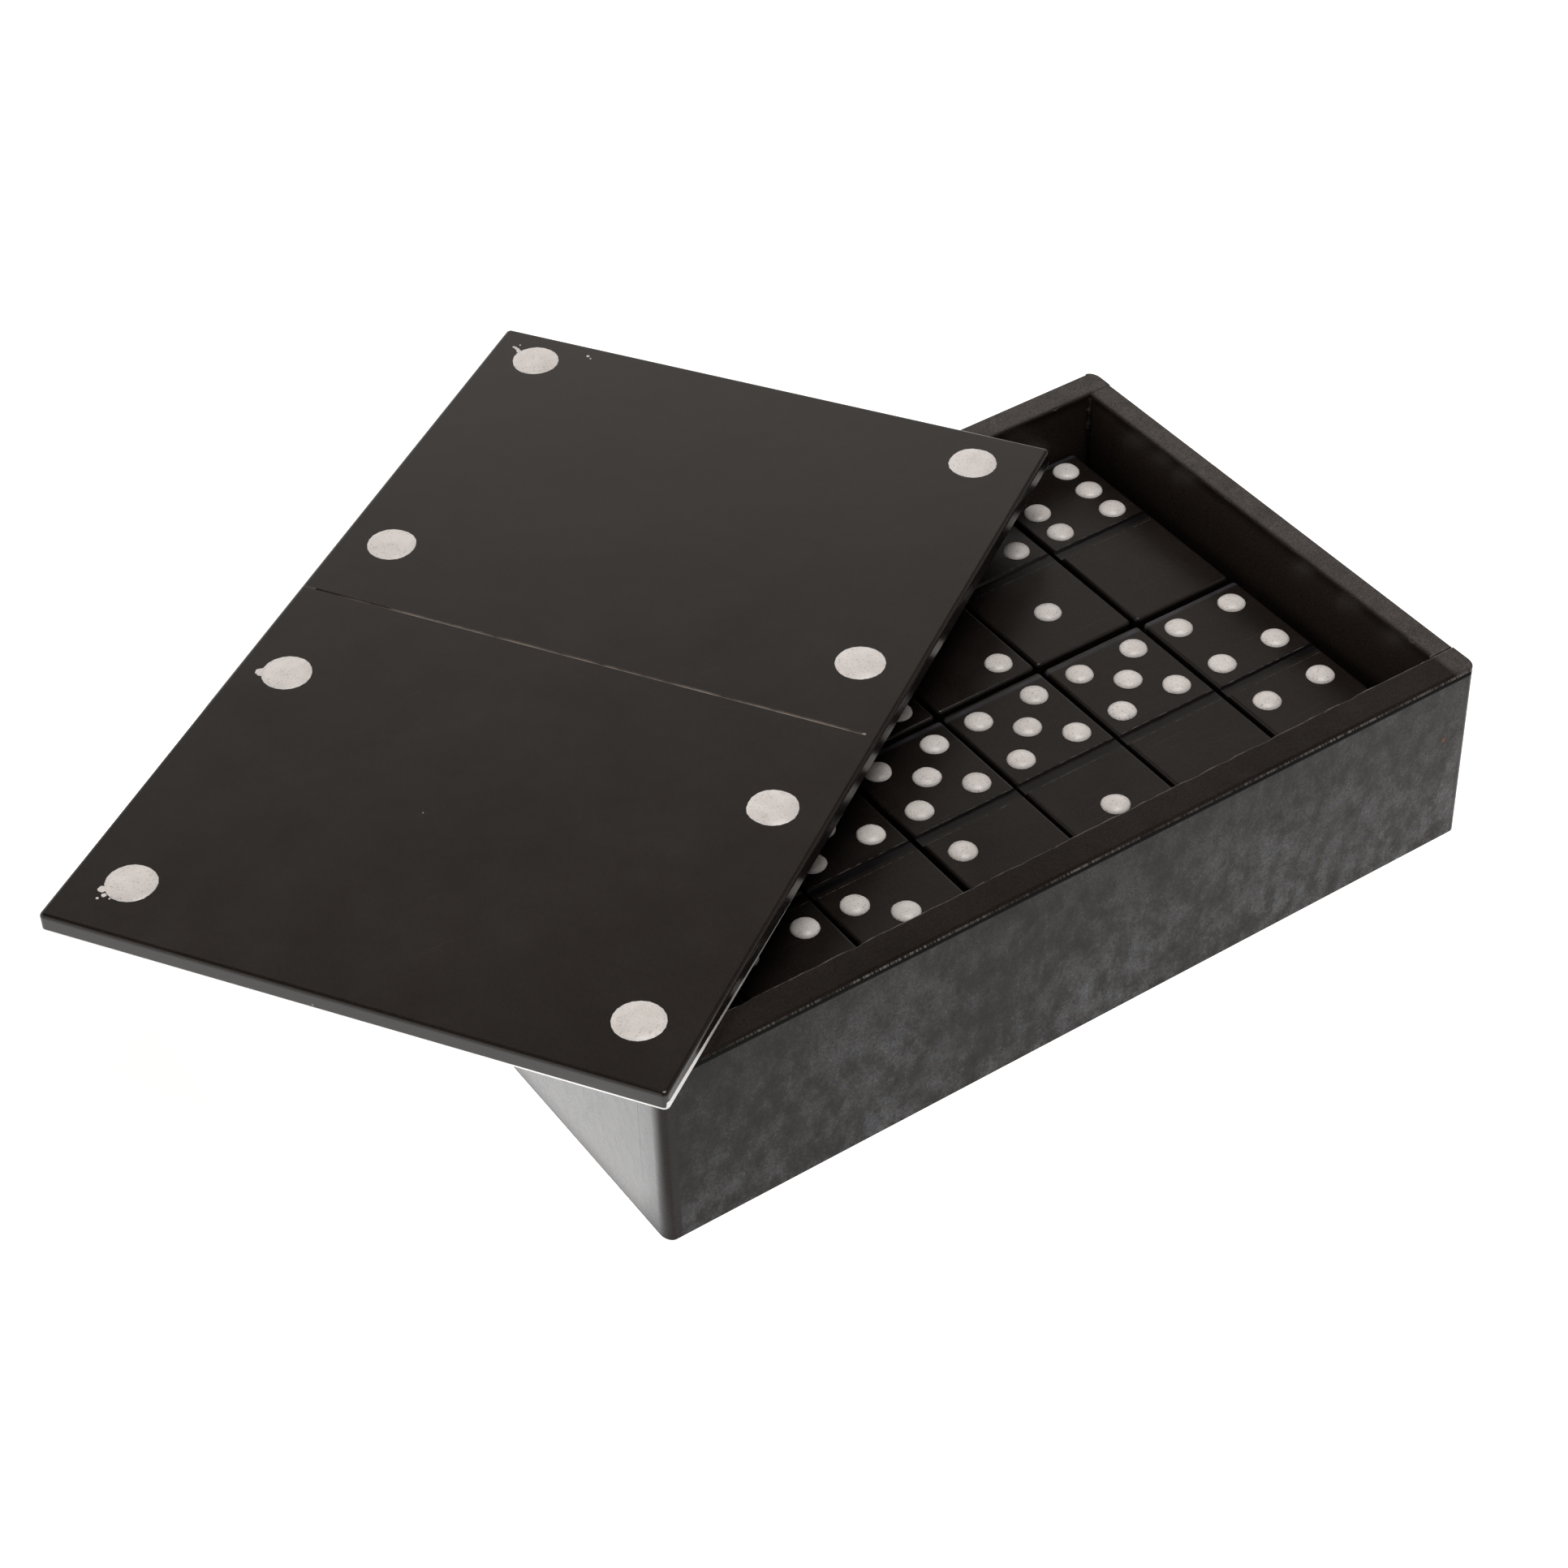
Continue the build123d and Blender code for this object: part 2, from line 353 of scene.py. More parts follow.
def polished_marble(name, dark, light, gloss, shine):
    material, net, shader, coordinates = new_finish(name)
    clouds = noise_of(net, coordinates, 22.0, 6.0, 0.6, 0.4)
    colour = ramp_of(net, clouds, (0.3, dark), (0.72, light))
    grain = noise_of(net, coordinates, GRAIN_SCALE, 2.0)
    colour = tinted(net, colour, ramp_of(net, grain, (0.3, 0.35), (0.7, 1.6)))
    grains = pale_grains(net, coordinates, 70.0, 0.016, 0.10)
    colour = mixed(net, grains, colour, PALE_GRAIN)
    long_marks = scratches(net, coordinates, 0.6, 40.0, 2600.0, 0.74)
    cross_marks = scratches(net, coordinates, -0.9, 30.0, 2200.0, 0.77)
    marks = math_of(net, "MAXIMUM", long_marks, cross_marks)
    colour = mixed(net, times(net, marks, 0.07), colour, PALE_GRAIN)
    patches = noise_of(net, coordinates, 70.0, 5.0)
    low, high = gloss
    polish = ramp_of(net, patches, (0.3, low), (0.7, high))
    polish = mixed(net, times(net, marks, 0.3), polish, (0.5,) * 3)
    net.links.new(polish, shader.inputs["Roughness"])
    ripple = noise_of(net, coordinates, 120.0, 3.0)
    surface = bump_of(net, ripple, RIPPLE_DEPTH)
    surface = bump_of(net, grain, GRAIN_DEPTH, below=surface)
    net.links.new(surface, shader.inputs["Normal"])
    shader.inputs["IOR"].default_value = STONE_IOR
    shader.inputs["Specular IOR Level"].default_value = shine
    return material, net, shader, coordinates, colour


print("marble ready")

# %% [markdown]
# ## The dominoes' finish
# The same stone again, with the marks of its making. Fine tool marks run across the faces. The far side
# of the channel lies in the dark, so it is painted darker where the shape alone leaves it grey: painted
# shade. The far edge of each domino is painted paler in broken patches: a painted highlight on its eased
# edge. Both follow from how far back a point lies on its domino, so the finish is given where the two
# rows begin and end.

# %% Domino finish
CHANNEL_HALF = 1.7 * MM
CHANNEL_TONE = (0.0015, 0.0014, 0.0020)
CHANNEL_SHADE = 0.85
TOOL_MARK_SHARE = 0.07
EASED_EDGE = 0.8 * MM
# The colour of the painted highlight along each domino's far edge.
EDGE_HIGHLIGHT_TONE = (0.042, 0.041, 0.050)
row_reach = [(low.y, high.y) for low, high in map(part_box, ("tile_4_4", "tile_6_0"))]


def domino_finish():
    dark, light = (0.0070, 0.0048, 0.0040), (0.0120, 0.0086, 0.0073)
    material, net, shader, coordinates, colour = polished_marble(
        "domino_marble", dark, light, (0.24, 0.36), 0.32
    )
    tool_marks = scratches(net, coordinates, 0.0, 30.0, 4200.0, 0.66)
    colour = mixed(net, times(net, tool_marks, TOOL_MARK_SHARE), colour, PALE_GRAIN)
    back = axes_of(net, coordinates)["Y"]
    in_channel = 0.0
    on_lit_edge = 0.0
    for low, high in row_reach:
        far_part = (low + high) / 2 + 0.45 * CHANNEL_HALF
        off_middle = gap_from(net, back, far_part)
        inside = rising(net, off_middle, 0.75 * CHANNEL_HALF, 0.35 * CHANNEL_HALF)
        in_channel = math_of(net, "MAXIMUM", in_channel, inside)
        # Painted highlight: a band just inside each row's far edge.
        edge_start = rising(net, back, high - 2.2 * EASED_EDGE, high - 1.6 * EASED_EDGE)
        edge_end = rising(net, back, high - 0.3 * MM, high - 0.6 * MM)
        edge = times(net, edge_start, edge_end)
        on_lit_edge = math_of(net, "MAXIMUM", on_lit_edge, edge)
    shade = times(net, in_channel, CHANNEL_SHADE)
    colour = mixed(net, shade, colour, CHANNEL_TONE)
    # The painted highlight comes and goes in patches.
    highlight_patches = noise_of(net, coordinates, 140.0, 3.0)
    highlight_patches = ramp_of(net, highlight_patches, (0.35, 0.35), (0.65, 1.0))
    on_lit_edge = times(net, on_lit_edge, highlight_patches)
    net.links.new(mixed(net, on_lit_edge, colour, EDGE_HIGHLIGHT_TONE), shader.inputs["Base Color"])
    return material


domino_marble = domino_finish()
print("domino finish", len(domino_marble.node_tree.nodes), "nodes")

# %% [markdown]
# ## The lid's finish
# The lid is the same stone with two things more. The line across its middle was scored with a steel
# point, which left it pale, faint where the stroke began and firm further on: the coordinates are moved
# to the lid's middle and turned along the line, and the finish turns pale close to it. Along the lower
# edge a painted reflection of the white paper leaves a thin pale band under the near short side, taller
# round the near corner.

# %% The lid's place
LID_TURN = math.radians(33.25)

lid_low, lid_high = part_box("lid_slab")
lid_middle = (lid_low + lid_high) / 2
lid_top = lid_high.z
lid_along = Vector((math.cos(LID_TURN), math.sin(LID_TURN)))
lid_across = Vector((-math.sin(LID_TURN), math.cos(LID_TURN)))
lid_points = [v.co.xy - lid_middle.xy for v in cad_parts["lid_slab"].data.vertices]
lid_end = min(point.dot(lid_along) for point in lid_points)
lid_side = min(point.dot(lid_across) for point in lid_points)
print("lid half length and width", round(-lid_end, 5), round(-lid_side, 5))

# %% Lid finish
LINE_TURN = math.radians(-1.0)
LINE_PAST_MIDDLE = 2.1 * MM
LINE_HALF_WIDTH = 0.31 * MM
LINE_COLOUR = (0.34, 0.295, 0.265)
LINE_STARTS, LINE_FIRM, LINE_STOPS = 58 * MM, 40 * MM, -63 * MM
LINE_FAINT, LINE_FULL = 0.12, 0.85
# The painted reflection along the lid's lower edge: how tall it is, where it grows, and its colour.
LIP_HEIGHT = 0.6 * MM
LIP_GROWTH = 1.9 * MM
LIP_TAPER = (75 * MM, 5 * MM)  # from the near corner: where the taller lip begins and is full
EDGE_REFLECTION_COLOUR = (0.86, 0.84, 0.83)
SIDE_DEPTH = (0.5 * MM, 0.3 * MM)


def on_lid(net, coordinates, start, turn):
    """The coordinates as seen from a point on the lid, with X turned along the lid."""
    centred = stretched(net, coordinates, shift=(-start.x, -start.y, 0))
    return axes_of(net, stretched(net, centred, turn=-turn))


# Painted reflection: a thin pale band along the lid's lower edge, for the white paper that the polished edge
# mirrors.
def edge_reflection_band(net, coordinates):
    axes = on_lid(net, coordinates, lid_middle, LID_TURN)
    outer, inner = SIDE_DEPTH
    at_end = rising(net, axes["X"], lid_end + outer, lid_end + inner)
    at_side = rising(net, axes["Y"], lid_side + outer, lid_side + inner)
    begins, full = LIP_TAPER
    near_corner = rising(net, axes["X"], lid_end + begins, lid_end + full)
    growth = times(net, at_side, near_corner, LIP_GROWTH)
    height = math_of(net, "MAXIMUM", growth, times(net, at_end, LIP_HEIGHT))
    above = math_of(net, "SUBTRACT", axes["Z"], lid_low.z)
    return math_of(net, "LESS_THAN", above, height)


def scored_line(net, coordinates):
    start = lid_middle.xy + LINE_PAST_MIDDLE * lid_along
    axes = on_lid(net, coordinates, start, LID_TURN + LINE_TURN)
    off_line = math_of(net, "ABSOLUTE", axes["X"])
    on_line = math_of(net, "LESS_THAN", off_line, LINE_HALF_WIDTH)
    firm = rising(net, axes["Y"], LINE_STARTS, LINE_FIRM)
    firm.node.inputs["To Min"].default_value = LINE_FAINT
    firm.node.inputs["To Max"].default_value = LINE_FULL
    before_end = math_of(net, "GREATER_THAN", axes["Y"], LINE_STOPS)
    broken = noise_of(net, coordinates, 180.0)
    broken = ramp_of(net, broken, (0.35, 0.4), (0.6, 1.0))
    return times(net, on_line, firm, broken, before_end)


def lid_finish():
    dark, light = (0.0085, 0.0058, 0.0047), (0.0130, 0.0093, 0.0077)
    material, net, shader, coordinates, colour = polished_marble(
        "lid_marble", dark, light, (0.16, 0.24), 0.5
    )
    colour = mixed(net, scored_line(net, coordinates), colour, LINE_COLOUR)
    # The pale band along the lower edge is a painted reflection.
    reflection_band = edge_reflection_band(net, coordinates)
    net.links.new(mixed(net, reflection_band, colour, EDGE_REFLECTION_COLOUR), shader.inputs["Base Color"])
    return material


lid_marble = lid_finish()
print("lid middle", [round(v, 4) for v in lid_middle])

# %% [markdown]
# ## The box's finish
# The box is one stone with two finishes. Inside and along the rim it is the same warm brown-black as the
# dominoes. The outside was honed coarser: it shows a slate-blue bloom in cloudy, slanting patches a few
# millimetres across, partly the honed stone's own mottling and partly a painted reflection of the white
# paper. A mask made from the coordinates tells the two apart: it is white on the outer faces, less than
# half a millimetre deep, stops under the ground edge of the rim, and leaves out the rounded corners, most
# of all the near left one, so that they stay dark: painted shade.

# %% Where the outside is
walls_low, walls_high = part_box("long_walls")
inside_low, inside_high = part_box("floor_slab")
ends_low, ends_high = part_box("end_walls")
rim_height = walls_high.z
FRONT_CHAMFER = 0.9 * MM
OUTSIDE_DEPTH = 0.4 * MM
CORNER_RADIUS = 3.0 * MM
# How far the painted shade round the near left corner reaches.
SHADED_CORNER_WIDTH = 3.8 * MM
SHADED_CORNER_DEPTH = 1.0 * MM
print("box", [round(v, 4) for v in walls_high - walls_low])


def outside_mask(net, axes):
    half = (walls_high - walls_low) / 2
    middle = (walls_high + walls_low) / 2
    skins = []
    rounds = []
    for axis, centre, reach in (("X", middle.x, half.x), ("Y", middle.y, half.y)):
        depth = gap_from(net, axes[axis], centre)
        skins.append(rising(net, depth, reach - OUTSIDE_DEPTH, reach - OUTSIDE_DEPTH / 2))
        rounds.append(rising(net, depth, reach - CORNER_RADIUS, reach - 0.3 * CORNER_RADIUS))
    # Painted shade: the rounded corners are left out of the outside colour, so they stay dark.
    corner = times(net, *rounds)
    # Painted shade: a wider dark strip round the near left corner.
    left, near = walls_low.xy
    at_left = rising(net, axes["X"], left + SHADED_CORNER_WIDTH, left + 0.8 * SHADED_CORNER_WIDTH)
    at_front = rising(net, axes["Y"], near + CORNER_RADIUS, near + SHADED_CORNER_DEPTH)
    shaded_corner = times(net, at_left, at_front)
    chamfer_foot = rim_height - FRONT_CHAMFER
    return times(
        net,
        math_of(net, "MAXIMUM", *skins),
        math_of(net, "SUBTRACT", 1.0, corner),
        math_of(net, "SUBTRACT", 1.0, shaded_corner),
        rising(net, axes["Z"], chamfer_foot, chamfer_foot - 0.3 * FRONT_CHAMFER),
    )


# %% [markdown]
# ## Marks along the box's edges
# The ground edge along the front shows the ticks of the stone wheel: the striations are real, and their
# paleness is a painted highlight. A dark line runs where the flat meets the face. The inner edge of the
# front wall is bruised, a broken pale line where the stone crumbled. Stone dust has settled on the right
# and far rims. They are masks again: a band between two heights or places, multiplied by a noise so that
# it comes and goes.

# %% Ground edge along the front
TICKS_PER_METRE = 3200.0
TICK_HIGHLIGHT_COLOUR = (0.17, 0.16, 0.155)
DARK_LINE_COLOUR = (0.002, 0.002, 0.002)
LINE_SOFTNESS = 0.05 * MM


def ground_edge(net, coordinates, axes, colour):
    """Pale ticks on the lower half of the front chamfer, striations with a painted highlight, and a dark
    line under it.
    """
    face = walls_low.y
    near_front = rising(net, axes["Y"], face + FRONT_CHAMFER, face + 0.9 * FRONT_CHAMFER)
    up = axes["Z"]
    top = rim_height - 0.50 * FRONT_CHAMFER
    bottom = rim_height - 0.88 * FRONT_CHAMFER
    under_top = rising(net, up, top, top - LINE_SOFTNESS)
    over_bottom = rising(net, up, bottom - LINE_SOFTNESS, bottom)
    crosswise = stretched(net, coordinates, (TICKS_PER_METRE, 60.0, 60.0))
    ticks = noise_of(net, crosswise, 1.0, 2.0)
    ticks = ramp_of(net, ticks, (0.42, 0.05), (0.60, 1.0))
    patchy = noise_of(net, coordinates, 55.0)
    patchy = ramp_of(net, patchy, (0.40, 0.15), (0.60, 0.9))
    shown = times(net, under_top, over_bottom, near_front, ticks, patchy)
    # Painted highlight: the wheel's striations shown pale.
    colour = mixed(net, shown, colour, TICK_HIGHLIGHT_COLOUR)
    line_top = rising(net, up, bottom + LINE_SOFTNESS, bottom - LINE_SOFTNESS)
    line_bottom = rising(net, up, bottom - 0.95 * MM, bottom - 0.75 * MM)
    dark_line = times(net, line_top, line_bottom, near_front)
    return mixed(net, dark_line, colour, DARK_LINE_COLOUR), dark_line


# %% Bruised inner edge
BRUISE_COLOUR = (0.12, 0.105, 0.10)
BRUISE_WIDTH = 0.5 * MM
BRUISE_OUT = 0.1 * MM


def bruised_edge(net, coordinates, axes):
    off_edge = gap_from(net, axes["Y"], inside_low.y - BRUISE_OUT)
    near_edge = rising(net, off_edge, BRUISE_WIDTH, 0.6 * BRUISE_WIDTH)
    bruise_foot = rim_height - BRUISE_WIDTH
    high_up = rising(net, axes["Z"], bruise_foot, bruise_foot + 0.4 * BRUISE_WIDTH)
    broken = noise_of(net, coordinates, 330.0, 4.0)
    broken = ramp_of(net, broken, (0.40, 0.1), (0.58, 0.85))
    return times(net, near_edge, high_up, broken)


# %% Dusty rims
RIM_DUST = (0.070, 0.063, 0.059)
DUST_EDGE = 1.2 * MM


def dusty_rims(net, coordinates, axes):
    right = rising(net, axes["X"], inside_high.x, inside_high.x + DUST_EDGE)
    far = rising(net, axes["Y"], inside_high.y, inside_high.y + DUST_EDGE)
    either = math_of(net, "MAXIMUM", right, far)
    on_top = rising(net, axes["Z"], rim_height - DUST_EDGE, rim_height - DUST_EDGE / 2)
    patchy = noise_of(net, coordinates, 300.0, 5.0)
    patchy = ramp_of(net, patchy, (0.3, 0.6), (0.7, 1.0))
    return times(net, either, on_top, patchy)


# %% [markdown]
# ## Marks on the box's faces
# On the left-hand end the sawn end of the front slab shows: it is darker and bluer than the end slab
# beside it, and a thin joint parts them. High up near the right-hand end of the front there is a pit
# with rust in it. The faces that look into the box are a shade paler than its rim.

# %% Slab end and joint
SLAB_END_TINT = (0.68, 0.74, 0.81)
JOINT_HALF = 0.2 * MM
JOINT_EDGE = 0.3 * MM
JOINT_SHARE = 0.45
JOINT_COLOUR = (0.01, 0.01, 0.012)


def slab_end(net, axes, outside):
    on_left = rising(net, axes["X"], walls_low.x + OUTSIDE_DEPTH, walls_low.x)
    joint = inside_low.y
    on_slab = rising(net, axes["Y"], joint + JOINT_EDGE, joint - JOINT_EDGE)
    bluer = tinted(net, outside, SLAB_END_TINT)
    outside = mixed(net, times(net, on_slab, on_left), outside, bluer)
    off_joint = gap_from(net, axes["Y"], joint)
    in_joint = rising(net, off_joint, JOINT_HALF, 0.5 * JOINT_HALF)
    return mixed(net, times(net, in_joint, on_left, JOINT_SHARE), outside, JOINT_COLOUR)


# %% Rust pit
PIT_RADIUS = 0.7 * MM
PIT_COLOUR = (0.10, 0.038, 0.012)
PIT_PLACE = (walls_high.x - 7.2 * MM, walls_low.y, rim_height - 16.5 * MM)


def rust_pit(net, coordinates):
    centred = stretched(net, coordinates, shift=tuple(-v for v in PIT_PLACE))
    length = net.nodes.new("ShaderNodeVectorMath")
    length.operation = "LENGTH"
    net.links.new(centred, length.inputs[0])
    return rising(net, length.outputs["Value"], PIT_RADIUS, 0.6 * PIT_RADIUS)


# %% Faces that look into the box
INSIDE_PALE = (0.030, 0.023, 0.020)


def inner_faces(net, axes):
    masks = [rising(net, axes["Z"], rim_height - 1.0 * MM, rim_height - 3.0 * MM)]
    for axis, wall, outward in (
        ("X", inside_low.x, -MM),
        ("X", inside_high.x, MM),
        ("Y", inside_low.y, -MM),
        ("Y", inside_high.y, MM),
    ):
        masks.append(rising(net, axes[axis], wall + outward, wall + outward / 2))
    return times(net, *masks)


# %% Box finish
INSIDE_DARK = (0.0095, 0.0070, 0.0058)
INSIDE_LIGHT = (0.0180, 0.0138, 0.0118)
# Tones of the bloom on the outer faces: the honed stone's mottling and a painted reflection of the white
# paper.
BLOOM_AND_REFLECTION_TONES = (
    (0.33, (0.0050, 0.0038, 0.0030)),
    (0.44, (0.0160, 0.0135, 0.0120)),
    (0.55, (0.0340, 0.0330, 0.0330)),
    (0.72, (0.0640, 0.0650, 0.0690)),
)
TOP_TINT, FOOT_TINT = (0.58, 0.51, 0.46), (1.72, 1.74, 1.79)
BLUE_TINT, YELLOW_TINT = (0.92, 0.95, 1.04), (1.09, 1.06, 0.96)
RUST_COLOUR = (0.14, 0.06, 0.025)
CLOUD_DEPTH = 0.05 * MM
INSIDE_ROUGHNESS = 0.26
LINE_ROUGHNESS = 0.9


def outside_bloom_and_reflection(net, coordinates, axes, bloom):
    """The colour of the outer faces: the bloom, partly a painted reflection of the white paper, paler
    towards the foot and the right, with flecks.
    """
    # The bloom: the honed stone's mottling and a painted reflection of the white paper.
    outside = ramp_of(net, bloom, *BLOOM_AND_REFLECTION_TONES)
    low_down = rising(net, axes["Z"], rim_height, 0.0)
    rightward = rising(net, axes["X"], walls_low.x, walls_high.x)
    fine = noise_of(net, coordinates, 1700.0, 4.0, 0.7)
    flecks = noise_of(net, coordinates, 800.0, 3.0)
    for value, first, last in (
        (low_down, (0.0, TOP_TINT), (1.0, FOOT_TINT)),
        (rightward, (0.0, 0.74), (1.0, 1.12)),
        (fine, (0.3, 0.4), (0.7, 1.6)),
        (flecks, (0.36, BLUE_TINT), (0.64, YELLOW_TINT)),
    ):
        outside = tinted(net, outside, ramp_of(net, value, first, last))
    rust = pale_grains(net, coordinates, 45.0, 0.03, 0.06)
    outside = mixed(net, rust, outside, RUST_COLOUR)
    outside = slab_end(net, axes, outside)
    return mixed(net, rust_pit(net, coordinates), outside, PIT_COLOUR)


def box_finish():
    material, net, shader, coordinates = new_finish("box_marble")
    axes = axes_of(net, coordinates)
    drift = noise_of(net, coordinates, 40.0, 5.0)
    inside = ramp_of(net, drift, (0.3, INSIDE_DARK), (0.7, INSIDE_LIGHT))
    slanting = stretched(net, coordinates, (1.0, 1.0, 0.7))
    clouds = noise_of(net, slanting, 230.0, 9.0, 0.7)
    broad = noise_of(net, coordinates, 26.0, 4.0)
    bloom = times(net, clouds, math_of(net, "ADD", broad, 0.5))
    outside = outside_bloom_and_reflection(net, coordinates, axes, bloom)
    on_outside = outside_mask(net, axes)
    inside = mixed(net, dusty_rims(net, coordinates, axes), inside, RIM_DUST)
    inside = mixed(net, inner_faces(net, axes), inside, INSIDE_PALE)
    colour = mixed(net, on_outside, inside, outside)
    grain = noise_of(net, coordinates, GRAIN_SCALE, 2.0)
    colour = tinted(net, colour, ramp_of(net, grain, (0.3, 0.5), (0.7, 1.5)))
    colour = mixed(net, bruised_edge(net, coordinates, axes), colour, BRUISE_COLOUR)
    colour, dark_line = ground_edge(net, coordinates, axes, colour)
    net.links.new(colour, shader.inputs["Base Color"])
    polish = ramp_of(net, bloom, (0.34, 0.16), (0.74, 0.42))
    polish = mixed(net, on_outside, (INSIDE_ROUGHNESS,) * 3, polish)
    polish = mixed(net, dark_line, polish, (LINE_ROUGHNESS,) * 3)
    net.links.new(polish, shader.inputs["Roughness"])
    surface = bump_of(net, clouds, CLOUD_DEPTH)
    surface = bump_of(net, grain, GRAIN_DEPTH, below=surface)
    net.links.new(surface, shader.inputs["Normal"])
    shader.inputs["IOR"].default_value = STONE_IOR
    shader.inputs["Specular IOR Level"].default_value = 0.14
    return material


box_marble = box_finish()
print("box finish", len(box_marble.node_tree.nodes), "nodes")

# %% [markdown]
# ## The resin's finish
# The pips are poured resin: cream, a little milky, with dust and tiny bubbles in it, and sanded lightly.


# %% Resin finish
def resin_finish():
    material, net, shader, coordinates = new_finish("cream_resin")
    clouds = noise_of(net, coordinates, 260.0, 4.0)
    colour = ramp_of(net, clouds, (0.3, (0.68, 0.64, 0.62)), (0.7, (0.80, 0.765, 0.745)))
    dust = noise_of(net, coordinates, 2600.0, 2.0)
    dust = ramp_of(net, dust, (0.28, 0.55), (0.42, 1.0))
    colour = tinted(net, colour, dust)
    net.links.new(colour, shader.inputs["Base Color"])
    sanding = scratches(net, coordinates, 0.8, 120.0, 5200.0, 0.6)
    polish = ramp_of(net, sanding, (0.0, 0.34), (1.0, 0.52))
    net.links.new(polish, shader.inputs["Roughness"])
    surface = bump_of(net, clouds, 0.03 * MM)
    net.links.new(surface, shader.inputs["Normal"])
    shader.inputs["Subsurface Weight"].default_value = 0.25
    shader.inputs["Subsurface Radius"].default_value = (1.0, 0.8, 0.6)
    shader.inputs["Subsurface Scale"].default_value = 0.6 * MM
    return material


cream_resin = resin_finish()
print("resin finish", len(cream_resin.node_tree.nodes), "nodes")

# %% [markdown]
# ## Stone dust with a painted highlight, and glue
# Two small finishes more: the grey dust that stays on a sawn edge, which on the dominoes' channel edges
# also serves as a painted highlight, and the dark glue of the box's joints, which has brown bits of stone in
# it.


# %% Stone dust and painted highlight
# Grey dust, which on the channel edges also serves as a painted highlight.
def edge_dust_and_highlight_finish():
    material, net, shader, coordinates = new_finish("edge_dust_and_highlight")
    tone = noise_of(net, coordinates, 900.0, 4.0)
    colour = ramp_of(net, tone, (0.35, (0.03, 0.027, 0.028)), (0.65, (0.13, 0.12, 0.125)))
    net.links.new(colour, shader.inputs["Base Color"])
    shader.inputs["Roughness"].default_value = 0.75
    return material


edge_dust_and_highlight = edge_dust_and_highlight_finish()
print("dust finish", len(edge_dust_and_highlight.node_tree.nodes), "nodes")


# %% Glue
def glue_finish():
    material, net, shader, coordinates = new_finish("joint_glue")
    tone = noise_of(net, coordinates, 700.0, 5.0)
    colour = ramp_of(
        net,
        tone,
        (0.44, (0.004, 0.0035, 0.003)),
        (0.60, (0.016, 0.011, 0.008)),
        (0.72, (0.11, 0.075, 0.05)),
    )
    net.links.new(colour, shader.inputs["Base Color"])
    polish = ramp_of(net, tone, (0.3, 0.25), (0.7, 0.6))
    net.links.new(polish, shader.inputs["Roughness"])
    net.links.new(bump_of(net, tone, 0.08 * MM), shader.inputs["Normal"])
    return material


joint_glue = glue_finish()
print("glue finish", len(joint_glue.node_tree.nodes), "nodes")

# %% [markdown]
# ## Dressing the CAD pieces
# The lid, the floor slab and the dominoes have their right shape already, with eased edges, drilled
# sockets and cut channels, so they only get their stone.


# %% CAD pieces
def dress(node_name, material):
    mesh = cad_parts[node_name].data
    mesh.materials.clear()
    mesh.materials.append(material)


for node_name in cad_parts:
    if node_name.startswith("tile_"):
        dress(node_name, domino_marble)
dress("lid_slab", lid_marble)
dress("floor_slab", box_marble)
print("dominoes dressed", sum(name.startswith("tile_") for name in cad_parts))

# %% [markdown]
# ## The pips
# Each pip was poured by hand into its drilled hole, so it stands up in a low dome, and its rim wanders a
# little over the edge of the hole. One pip is modelled: a short cylinder whose top face is inset again
# and again, a little higher each time, which makes the dome. Each place then gets its own copy, and a
# smooth noise pushes the rim in and out, a different way for each. A sphere cut off by the stone would
# look the same everywhere and meet it in a perfect circle.


# %% Choosing edges
def select_edges(piece, chosen):
    """Go into edit mode with only the edges selected that a test on their two ends chooses."""
    bpy.context.view_layer.objects.active = piece
    bpy.ops.object.mode_set(mode="EDIT")
    bpy.ops.mesh.select_mode(type="EDGE")
    bpy.ops.mesh.select_all(action="DESELECT")
    bpy.ops.object.mode_set(mode="OBJECT")
    for edge in piece.data.edges:
        first, second = (piece.data.vertices[i].co for i in edge.vertices)
        edge.select = chosen(first, second)
    bpy.ops.object.mode_set(mode="EDIT")


print("edges can be chosen by place")

# %% One pip
PIP_SIDES = 20
PIP_RINGS = 3
PIP_SKIRT = 0.5 * MM  # how far the plug goes down into its hole
RIM_WANDER = 0.045  # of the radius


def model_pip():
    """A pip of radius 1 and rise 1, on a skirt of depth 1, its rim at z = 0."""
    bpy.ops.object.select_all(action="DESELECT")
    bpy.ops.mesh.primitive_cylinder_add(vertices=PIP_SIDES, radius=1.0, depth=1.0, location=(0, 0, -0.5))
    bpy.ops.object.transform_apply(location=True, rotation=False, scale=False)
    piece = bpy.context.object
    bpy.ops.object.mode_set(mode="EDIT")
    bpy.ops.mesh.select_all(action="DESELECT")
    bpy.ops.object.mode_set(mode="OBJECT")
    for face in piece.data.polygons:
        face.select = face.normal.z > 0.9
    bpy.ops.object.mode_set(mode="EDIT")
    ring_angle = math.pi / 2 / PIP_RINGS
    for ring in range(PIP_RINGS - 1):
        angle, next_angle = ring * ring_angle, (ring + 1) * ring_angle
        bpy.ops.mesh.inset(thickness=math.cos(angle) - math.cos(next_angle), depth=0)
        bpy.ops.transform.translate(value=(0, 0, math.sin(next_angle) - math.sin(angle)))
    bpy.ops.mesh.poke()
    bpy.ops.object.mode_set(mode="OBJECT")
    peak = max(piece.data.vertices, key=lambda v: v.co.z - v.co.xy.length)
    peak.co = (0, 0, 1.0)
    return piece


pip_master = model_pip()
pip_master.name = "pip_master"
print("one pip has", len(pip_master.data.polygons), "faces, top at", pip_master.data.vertices[-1].co.z)


